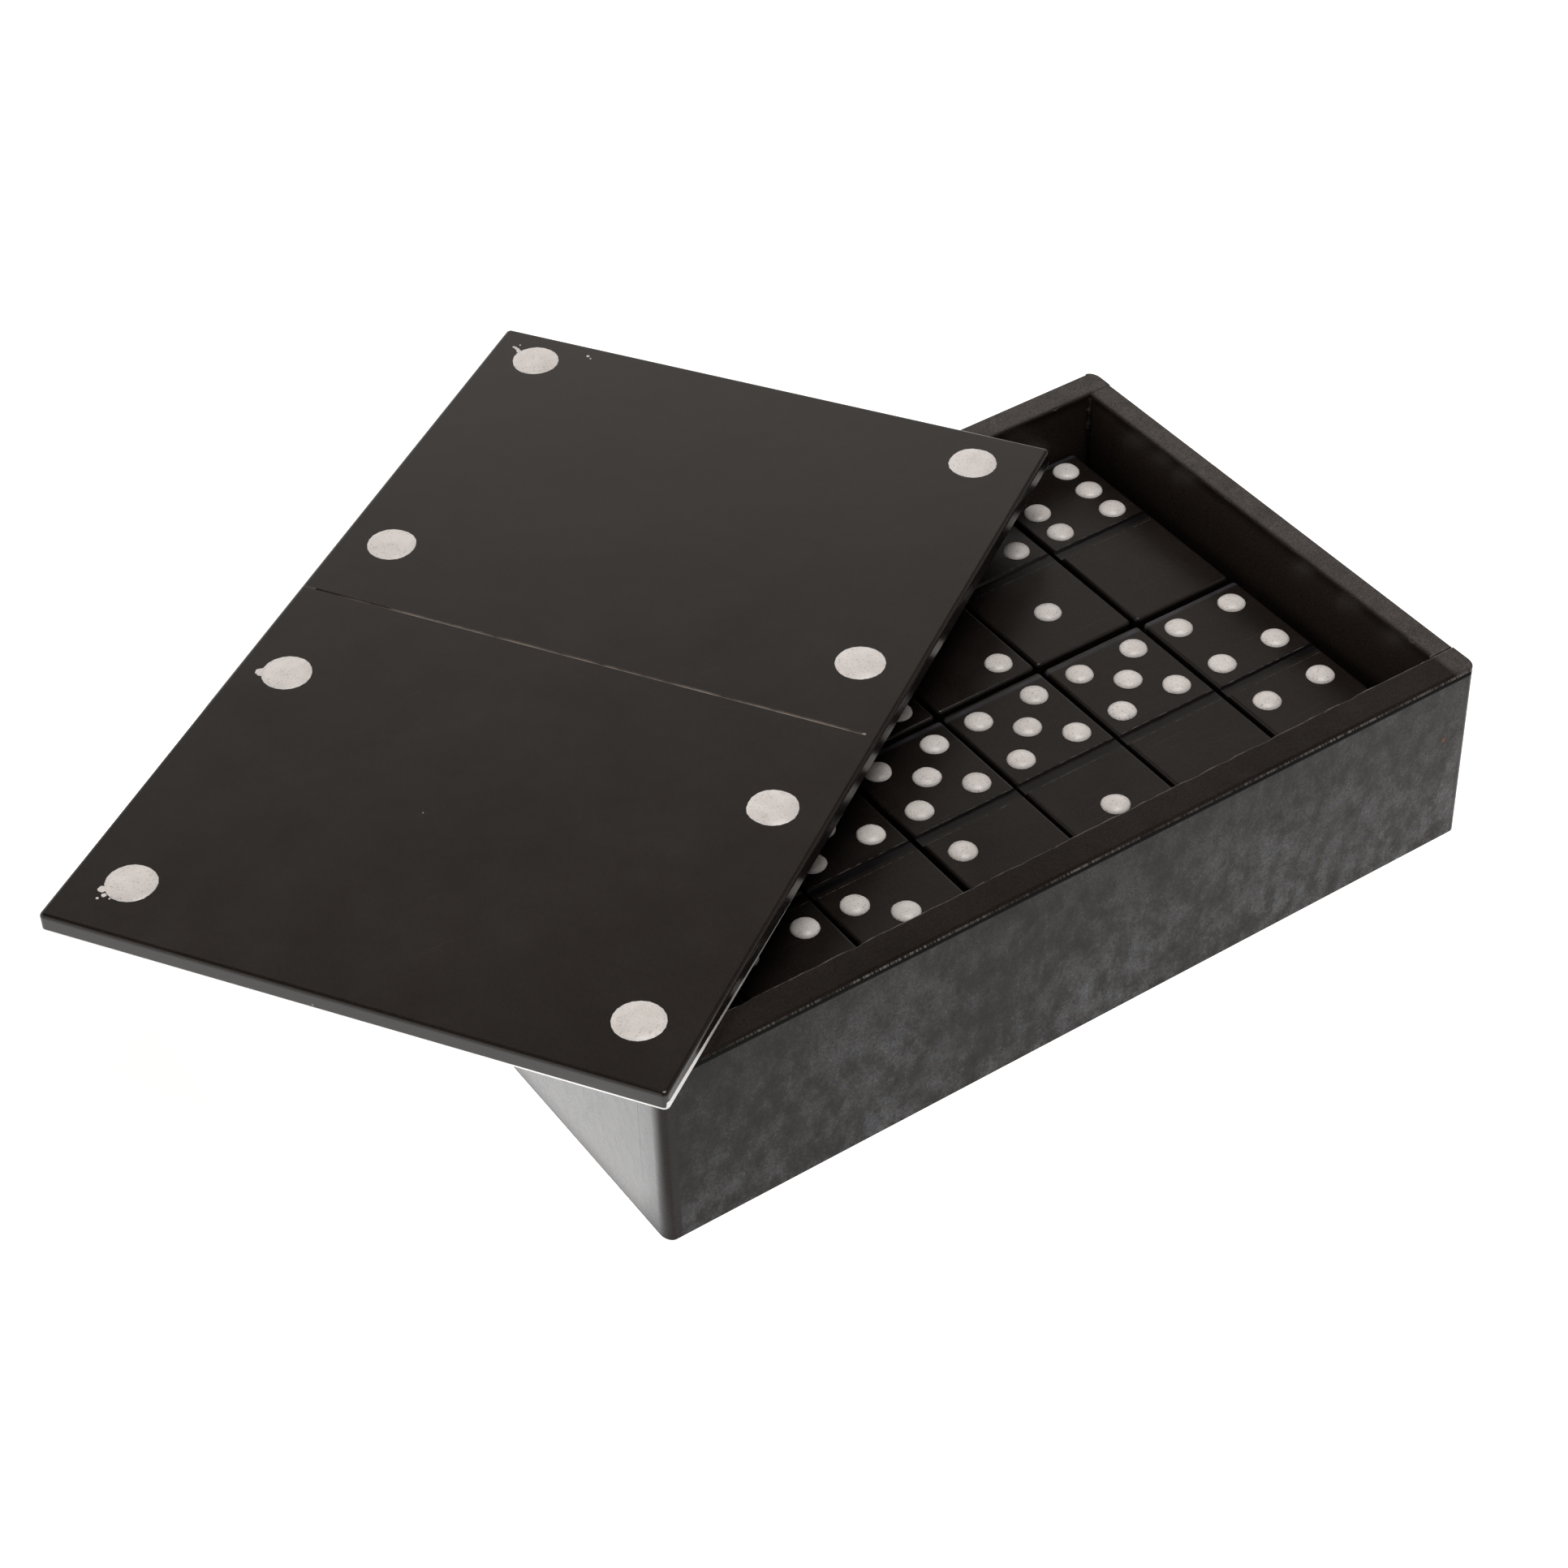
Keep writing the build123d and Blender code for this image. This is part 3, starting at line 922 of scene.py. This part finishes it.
# %% Pips in their places
def pip_places(node_name):
    """The top of every dome of a CAD node: its highest points, each taken once."""
    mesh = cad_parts[node_name].data
    top = max(v.co.z for v in mesh.vertices)
    spots = {(round(v.co.x, 5), round(v.co.y, 5)) for v in mesh.vertices if v.co.z > top - 1e-7}
    return sorted(spots), top


def poured_pip(place, top, radius, rise, wander, seed):
    """A copy of the pip at its place, its rim pushed in and out by a noise."""
    mesh = pip_master.data.copy()
    for vertex in mesh.vertices:
        around = vertex.co.xy.normalized()
        push = noise.noise(Vector((around.x * 1.3, around.y * 1.3, seed * 7.3)))
        fine = noise.noise(Vector((around.x * 4.0, around.y * 4.0, seed * 3.1)))
        spread = radius * (1.0 + wander * (push + 0.4 * fine) + wander * 0.3)
        x, y = vertex.co.x * spread, vertex.co.y * spread
        z = top - rise + vertex.co.z * (rise if vertex.co.z > 0 else PIP_SKIRT)
        lean = 1.0 + 0.06 * noise.noise(Vector((x / radius, y / radius, seed * 1.7)))
        if vertex.co.z > 0:
            z = top - rise + (z - top + rise) * min(lean, 1.0)
        vertex.co = (place[0] + x, place[1] + y, z)
    return bpy.data.objects.new("poured_pip", mesh)


def join_pieces(objects, name):
    bpy.ops.object.select_all(action="DESELECT")
    for piece in objects:
        if piece.name not in bpy.context.scene.collection.all_objects:
            bpy.context.scene.collection.objects.link(piece)
        piece.select_set(True)
    bpy.context.view_layer.objects.active = objects[0]
    if len(objects) > 1:
        bpy.ops.object.join()
    joined = bpy.context.object
    joined.name = name
    return joined


def finish_piece(piece, material, body, slot, *nodes):
    piece.data.materials.clear()
    piece.data.materials.append(material)
    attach(piece, body)
    if nodes:
        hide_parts(*nodes)
    return piece


def pour_pips(node_name, name, body, radius, rise, wander, seed):
    spots, top = pip_places(node_name)
    pips = [poured_pip(spot, top, radius, rise, wander, seed + n) for n, spot in enumerate(spots)]
    joined = join_pieces(pips, name)
    bpy.ops.object.shade_smooth_by_angle(angle=math.radians(50))
    return finish_piece(joined, cream_resin, body, "cream_resin", node_name)


TILE_PIP_RADIUS = 3.0 * MM
TILE_PIP_RISE = 0.9 * MM
LID_PIP_RADIUS = 5.2 * MM
LID_PIP_RISE = 0.6 * MM

pip_nodes = sorted(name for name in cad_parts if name.startswith("pips_"))
for number, node_name in enumerate(pip_nodes):
    values = node_name.removeprefix("pips_")
    pour_pips(
        node_name,
        f"poured_{values}",
        f"domino_{values}",
        TILE_PIP_RADIUS,
        TILE_PIP_RISE,
        RIM_WANDER,
        number * 13.0,
    )
lid_pips = pour_pips(
    "lid_pips", "poured_lid", "lid", LID_PIP_RADIUS, LID_PIP_RISE, RIM_WANDER * 0.7, 500.0
)
print("pips poured for", len(pip_nodes), "dominoes and the lid")

# %% [markdown]
# ## Spilled resin
# Whoever poured the lid's pips spilled a little: a tail runs off one pip, another has a nub on its rim,
# and a few specks dried beside them. They are the same poured shape, small and flat. The tail is a row of
# drops that overlap and shrink. Their places are given along and across the lid, from its middle.

# %% Spilled resin
TAIL = [(95.6, 58.8, 0.62), (96.2, 59.5, 0.5), (96.7, 60.0, 0.42), (97.1, 60.6, 0.36), (97.3, 61.2, 0.3)]
NUBS = [(-24.8, 60.2, 1.1), (-93.0, 57.6, 0.8), (-94.4, 56.4, 0.5)]
SPECKS = [(99.9, 43.8, 0.35), (99.2, 42.9, 0.2), (-95.6, 57.2, 0.3), (-94.9, 54.9, 0.22), (98.4, 60.2, 0.18)]
DROP_RISE = 0.16 * MM

drops = []
for number, (along, across, radius) in enumerate(TAIL + NUBS + SPECKS):
    place = lid_middle.xy + (along * lid_along + across * lid_across) * MM
    top = lid_top + DROP_RISE
    drops.append(poured_pip(place, top, radius * MM, DROP_RISE, 0.3, 900 + number))
resin_drips = join_pieces(drops, "resin_drips")
bpy.ops.object.shade_smooth_by_angle(angle=math.radians(50))
finish_piece(resin_drips, cream_resin, "lid", "cream_resin")
bpy.data.objects.remove(pip_master)
print("drops of resin", len(drops))

# %% [markdown]
# ## Worn and lit edges of the channels
# The channel across each domino was sawn, and the saw left its two edges chipped and dusty; they show
# as thin pale broken lines, partly that dust and partly a painted highlight where the edges catch the
# light. Each line is a very thin three-sided rod that lies along the edge. It is modelled once, a few
# dozen short lengths long, and a noise then pushes parts of each copy under the stone, where they don't
# show.

# %% Wear and highlight line
WEAR_AND_HIGHLIGHT_STEPS = 40
WEAR_AND_HIGHLIGHT_RADIUS = 0.12 * MM


def model_wear_and_highlight_rod():
    """A rod one metre long in X and of radius 1, to be scaled for each domino."""
    bpy.ops.object.select_all(action="DESELECT")
    bpy.ops.mesh.primitive_cylinder_add(vertices=3, radius=1.0, depth=1.0, rotation=(0, math.pi / 2, 0))
    bpy.ops.object.transform_apply(location=False, rotation=True, scale=False)
    rod = bpy.context.object
    select_edges(rod, lambda first, second: abs(first.x - second.x) > 0.5)
    bpy.ops.mesh.subdivide(number_cuts=WEAR_AND_HIGHLIGHT_STEPS)
    bpy.ops.object.mode_set(mode="OBJECT")
    return rod


def worn_and_lit_edge(low, high, y, thickness, seed):
    mesh = wear_and_highlight_rod.data.copy()
    length = high.x - low.x - 1.6 * MM
    for vertex in mesh.vertices:
        x = (low.x + high.x) / 2 + vertex.co.x * length
        worn = noise.noise(Vector((x / MM * 0.9, seed, 0.0))) + 0.5 * noise.noise(
            Vector((x / MM * 0.25, seed, 9.0))
        )
        radius = thickness * max(0.25, min(1.0, 0.6 + worn))
        sink = thickness * max(0.0, -1.2 * worn)
        vertex.co = (x, y + vertex.co.y * radius, high.z + vertex.co.z * radius * 0.5 - sink)
    return bpy.data.objects.new("worn_and_lit_edge", mesh)


wear_and_highlight_rod = model_wear_and_highlight_rod()
tile_nodes = sorted(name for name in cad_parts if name.startswith("tile_"))
for number, node_name in enumerate(tile_nodes):
    low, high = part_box(node_name)
    middle_y = (low.y + high.y) / 2
    values = node_name.removeprefix("tile_")
    # Dust and painted highlight: a pale rod along each edge of the channel, the far one thicker.
    far = worn_and_lit_edge(low, high, middle_y + CHANNEL_HALF, WEAR_AND_HIGHLIGHT_RADIUS, number * 3.7)
    near = worn_and_lit_edge(low, high, middle_y - CHANNEL_HALF, 0.7 * WEAR_AND_HIGHLIGHT_RADIUS, number * 5.1 + 60)
    wear_and_highlight = join_pieces([far, near], f"channel_wear_and_highlight_{values}")
    finish_piece(wear_and_highlight, edge_dust_and_highlight, f"domino_{values}", "black_marble")
bpy.data.objects.remove(wear_and_highlight_rod)
print("channels worn", len(tile_nodes))

# %% [markdown]
# ## The walls of the box
# The four walls are sawn slabs. Their outer edges were ground: a flat along the front top edge, and the
# upright corners rounded. Nobody ground the inner edges of the rim, so they are crumbled, with small
# shell-shaped chips. Each wall starts as a cube at its size and place, its edges are cut finely along
# its length and bevelled, the inner rim is roughened, and a scatter of small rough stones is subtracted
# from it to leave the chips. Bump alone would leave the outline of the rim straight.

# %% Sizes of the walls' edges
RIM_EASE = 0.45 * MM
CRUMBLE_DEPTH = 0.35 * MM
CHIP_SMALLEST, CHIP_SPREAD = 0.25 * MM, 0.65 * MM  # most chips are near the smallest
STEP_ALONG = 2.0 * MM
FLAT_ANGLE = math.radians(12.5)
print("walls", round(rim_height / MM, 1), "mm high")


# %% Cut a slab
def add_slab(name, low, high, along):
    """A cube between two corners, its long edges divided into short steps."""
    bpy.ops.object.select_all(action="DESELECT")
    bpy.ops.mesh.primitive_cube_add(size=1.0)
    piece = bpy.context.object
    piece.name = name
    piece.dimensions = high - low
    piece.location = (low + high) / 2
    bpy.ops.object.transform_apply(location=True, rotation=False, scale=True)
    length = (high - low)[along]
    select_edges(piece, lambda first, second: abs(first[along] - second[along]) > length / 2)
    bpy.ops.mesh.subdivide(number_cuts=round(length / STEP_ALONG))
    bpy.ops.object.mode_set(mode="OBJECT")
    return piece


def bevel_where(piece, chosen, width, segments):
    select_edges(piece, chosen)
    bpy.ops.mesh.bevel(offset=width, offset_type="OFFSET", segments=segments, affect="EDGES")
    bpy.ops.object.mode_set(mode="OBJECT")


def at(value, target):
    return abs(value - target) < 1e-6


def line_along(axis, **fixed):
    """A test for edges that lie on one straight line, given by its two other coordinates."""
    wanted = {"xyz".index(letter): value for letter, value in fixed.items()}

    def chosen(first, second):
        lies_on = all(at(p[i], value) for p in (first, second) for i, value in wanted.items())
        return lies_on and not at(first[axis], second[axis])

    return chosen


print("slab tools ready")


# %% Crumble the inner rim
def piece_middle(piece):
    corners = [v.co for v in piece.data.vertices]
    return sum(corners, Vector()) / len(corners)


def crumble(piece, across, inner, depth, seed):
    """Push the vertices near the inner rim about, outwards into the stone and down, never off it."""
    into_stone = 1.0 if inner < piece_middle(piece)[across] else -1.0
    for vertex in piece.data.vertices:
        away = abs(vertex.co[across] - inner) + abs(vertex.co.z - rim_height)
        if away > 1.2 * RIM_EASE:
            continue
        along = 1 - across
        spot = vertex.co[along] / MM
        push = noise.noise(Vector((spot * 0.23, seed, 0.0))) + 0.6 * noise.noise(
            Vector((spot * 0.9, seed, 4.0))
        )
        amount = depth * max(push + 0.25, 0.0)
        vertex.co[across] += into_stone * amount
        vertex.co.z -= 0.35 * amount


def chip(piece, across, inner, low, high, count, seed):
    """Subtract copies of one small stone, each roughened its own way, from the inner rim."""
    pick = random.Random(seed)
    stones = []
    for _ in range(count):
        size = CHIP_SMALLEST + CHIP_SPREAD * pick.random() ** 3
        along = pick.uniform(low, high)
        middle = Vector((along, along, rim_height + 0.35 * size))
        middle[across] = inner
        stretch = Vector((1.0, 1.0, 0.9))
        stretch[1 - across] = pick.uniform(1.2, 2.6)
        mesh = chip_stone.data.copy()
        for vertex in mesh.vertices:
            rough = 1.0 + 0.25 * noise.noise(vertex.co * 1.4 + Vector((along / MM, 0, 0)))
            vertex.co = middle + Vector(c * s * rough * size for c, s in zip(vertex.co, stretch))
        stones.append(bpy.data.objects.new("chip_stone_copy", mesh))
    cutter = join_pieces(stones, "chip_stones")
    bpy.ops.object.select_all(action="DESELECT")
    piece.select_set(True)
    bpy.context.view_layer.objects.active = piece
    cut = piece.modifiers.new("chips", "BOOLEAN")
    cut.operation = "DIFFERENCE"
    cut.solver = "EXACT"
    cut.use_self = True
    cut.object = cutter
    bpy.ops.object.modifier_apply(modifier=cut.name)
    bpy.data.objects.remove(cutter)


bpy.ops.object.select_all(action="DESELECT")
bpy.ops.mesh.primitive_ico_sphere_add(subdivisions=2, radius=1.0)
chip_stone = bpy.context.object
print("rim tools ready")


# %% Long walls
def make_long_wall(name, outer, inner, chips, seed):
    low = Vector((walls_low.x, min(outer, inner), walls_low.z))
    high = Vector((walls_high.x, max(outer, inner), rim_height))
    wall = add_slab(name, low, high, 0)
    for x in (low.x, high.x):
        bevel_where(wall, line_along(2, x=x, y=outer), CORNER_RADIUS, 8)
    outer_top = line_along(0, y=outer, z=rim_height)
    width, segments = (FRONT_CHAMFER, 1) if outer < inner else (RIM_EASE, 3)
    bevel_where(wall, outer_top, width, segments)
    bevel_where(wall, line_along(0, y=inner, z=rim_height), RIM_EASE, 3)
    crumble(wall, 1, inner, CRUMBLE_DEPTH, seed)
    chip(wall, 1, inner, inside_low.x, inside_high.x, chips, seed)
    bpy.ops.object.shade_smooth_by_angle(angle=FLAT_ANGLE)
    return finish_piece(wall, box_marble, "box", "box_marble", "long_walls")


front_wall = make_long_wall("front_wall", walls_low.y, inside_low.y, 60, 11)
back_wall = make_long_wall("back_wall", walls_high.y, inside_high.y, 16, 23)
print("front wall faces", len(front_wall.data.polygons))


# %% End walls
def make_end_wall(name, outer, inner, chips, seed):
    low = Vector((min(outer, inner), ends_low.y, ends_low.z))
    high = Vector((max(outer, inner), ends_high.y, rim_height))
    wall = add_slab(name, low, high, 1)
    bevel_where(wall, line_along(1, x=outer, z=rim_height), RIM_EASE, 3)
    bevel_where(wall, line_along(1, x=inner, z=rim_height), RIM_EASE, 2)
    crumble(wall, 0, inner, CRUMBLE_DEPTH, seed)
    chip(wall, 0, inner, ends_low.y, ends_high.y, chips, seed)
    bpy.ops.object.shade_smooth_by_angle(angle=FLAT_ANGLE)
    return finish_piece(wall, box_marble, "box", "box_marble", "end_walls")


left_wall = make_end_wall("left_wall", ends_low.x, inside_low.x, 12, 37)
right_wall = make_end_wall("right_wall", ends_high.x, inside_high.x, 12, 41)
bpy.data.objects.remove(chip_stone)
print("right wall faces", len(right_wall.data.polygons))

# %% [markdown]
# ## Glue in the joints
# The slabs were stuck together with dark glue that squeezed out: a bead runs down each inside corner, and
# a crust with brown bits lies in the joints on the rim. Each is a thin rod cut into short lengths, with
# its vertices pushed about by a noise. A tidy fillet would look moulded.

# %% Glue beads
BEAD_SIDES = 7
BEAD_STEP = 0.7 * MM


def glue_bead(start, end, thickness, seed):
    """An uneven rod of glue between two points of a line along X, Y or Z."""
    start, end = Vector(start), Vector(end)
    length = (end - start).length
    bpy.ops.object.select_all(action="DESELECT")
    bpy.ops.mesh.primitive_cylinder_add(vertices=BEAD_SIDES, radius=thickness, depth=length)
    bead = bpy.context.object
    select_edges(bead, lambda first, second: abs(first.z - second.z) > length / 2)
    bpy.ops.mesh.subdivide(number_cuts=max(2, round(length / BEAD_STEP)))
    bpy.ops.object.mode_set(mode="OBJECT")
    turn = (end - start).to_track_quat("Z", "Y").to_matrix()
    for vertex in bead.data.vertices:
        spot = vertex.co / MM
        rough = noise.noise(spot * 0.55 + Vector((seed, 0, 0)))
        fine = noise.noise(spot * 1.7 + Vector((0, seed, 0)))
        spread = 1.0 + 0.75 * rough + 0.4 * fine
        point = Vector((vertex.co.x * spread, vertex.co.y * spread, vertex.co.z))
        vertex.co = (start + end) / 2 + turn @ point
    return bead


BEAD_THICKNESS = 0.62 * MM
CRUST_THICKNESS = 0.26 * MM
CRUST_SUNK = 0.15 * MM

beads = []
corners = [(x, y) for x in (inside_low.x, inside_high.x) for y in (inside_low.y, inside_high.y)]
for corner, (x, y) in enumerate(corners):
    foot = (x, y, inside_high.z)
    head = (x, y, rim_height - 1.0 * MM)
    beads.append(glue_bead(foot, head, BEAD_THICKNESS, 3.0 + corner))
corner_glue = join_pieces(beads, "corner_glue")
bpy.ops.object.shade_smooth_by_angle(angle=math.radians(60))
finish_piece(corner_glue, joint_glue, "box", "box_marble")
print("beads of glue", len(beads))

# %% Glue crusts on the rim
crusts = []
for corner, (x, y) in enumerate(corners):
    outward = -1 if x == inside_low.x else 1
    reach = 3.2 * MM if y < 0 else 1.6 * MM
    height = rim_height - CRUST_SUNK - CRUST_THICKNESS
    start = (x + outward * 0.6 * MM, y, height)
    crusts.append(glue_bead(start, (x + outward * reach, y, height), CRUST_THICKNESS, 20.0 + corner))
rim_glue = join_pieces(crusts, "rim_glue")
bpy.ops.object.shade_smooth_by_angle(angle=math.radians(60))
finish_piece(rim_glue, joint_glue, "box", "box_marble")
print("crusts of glue", len(crusts))
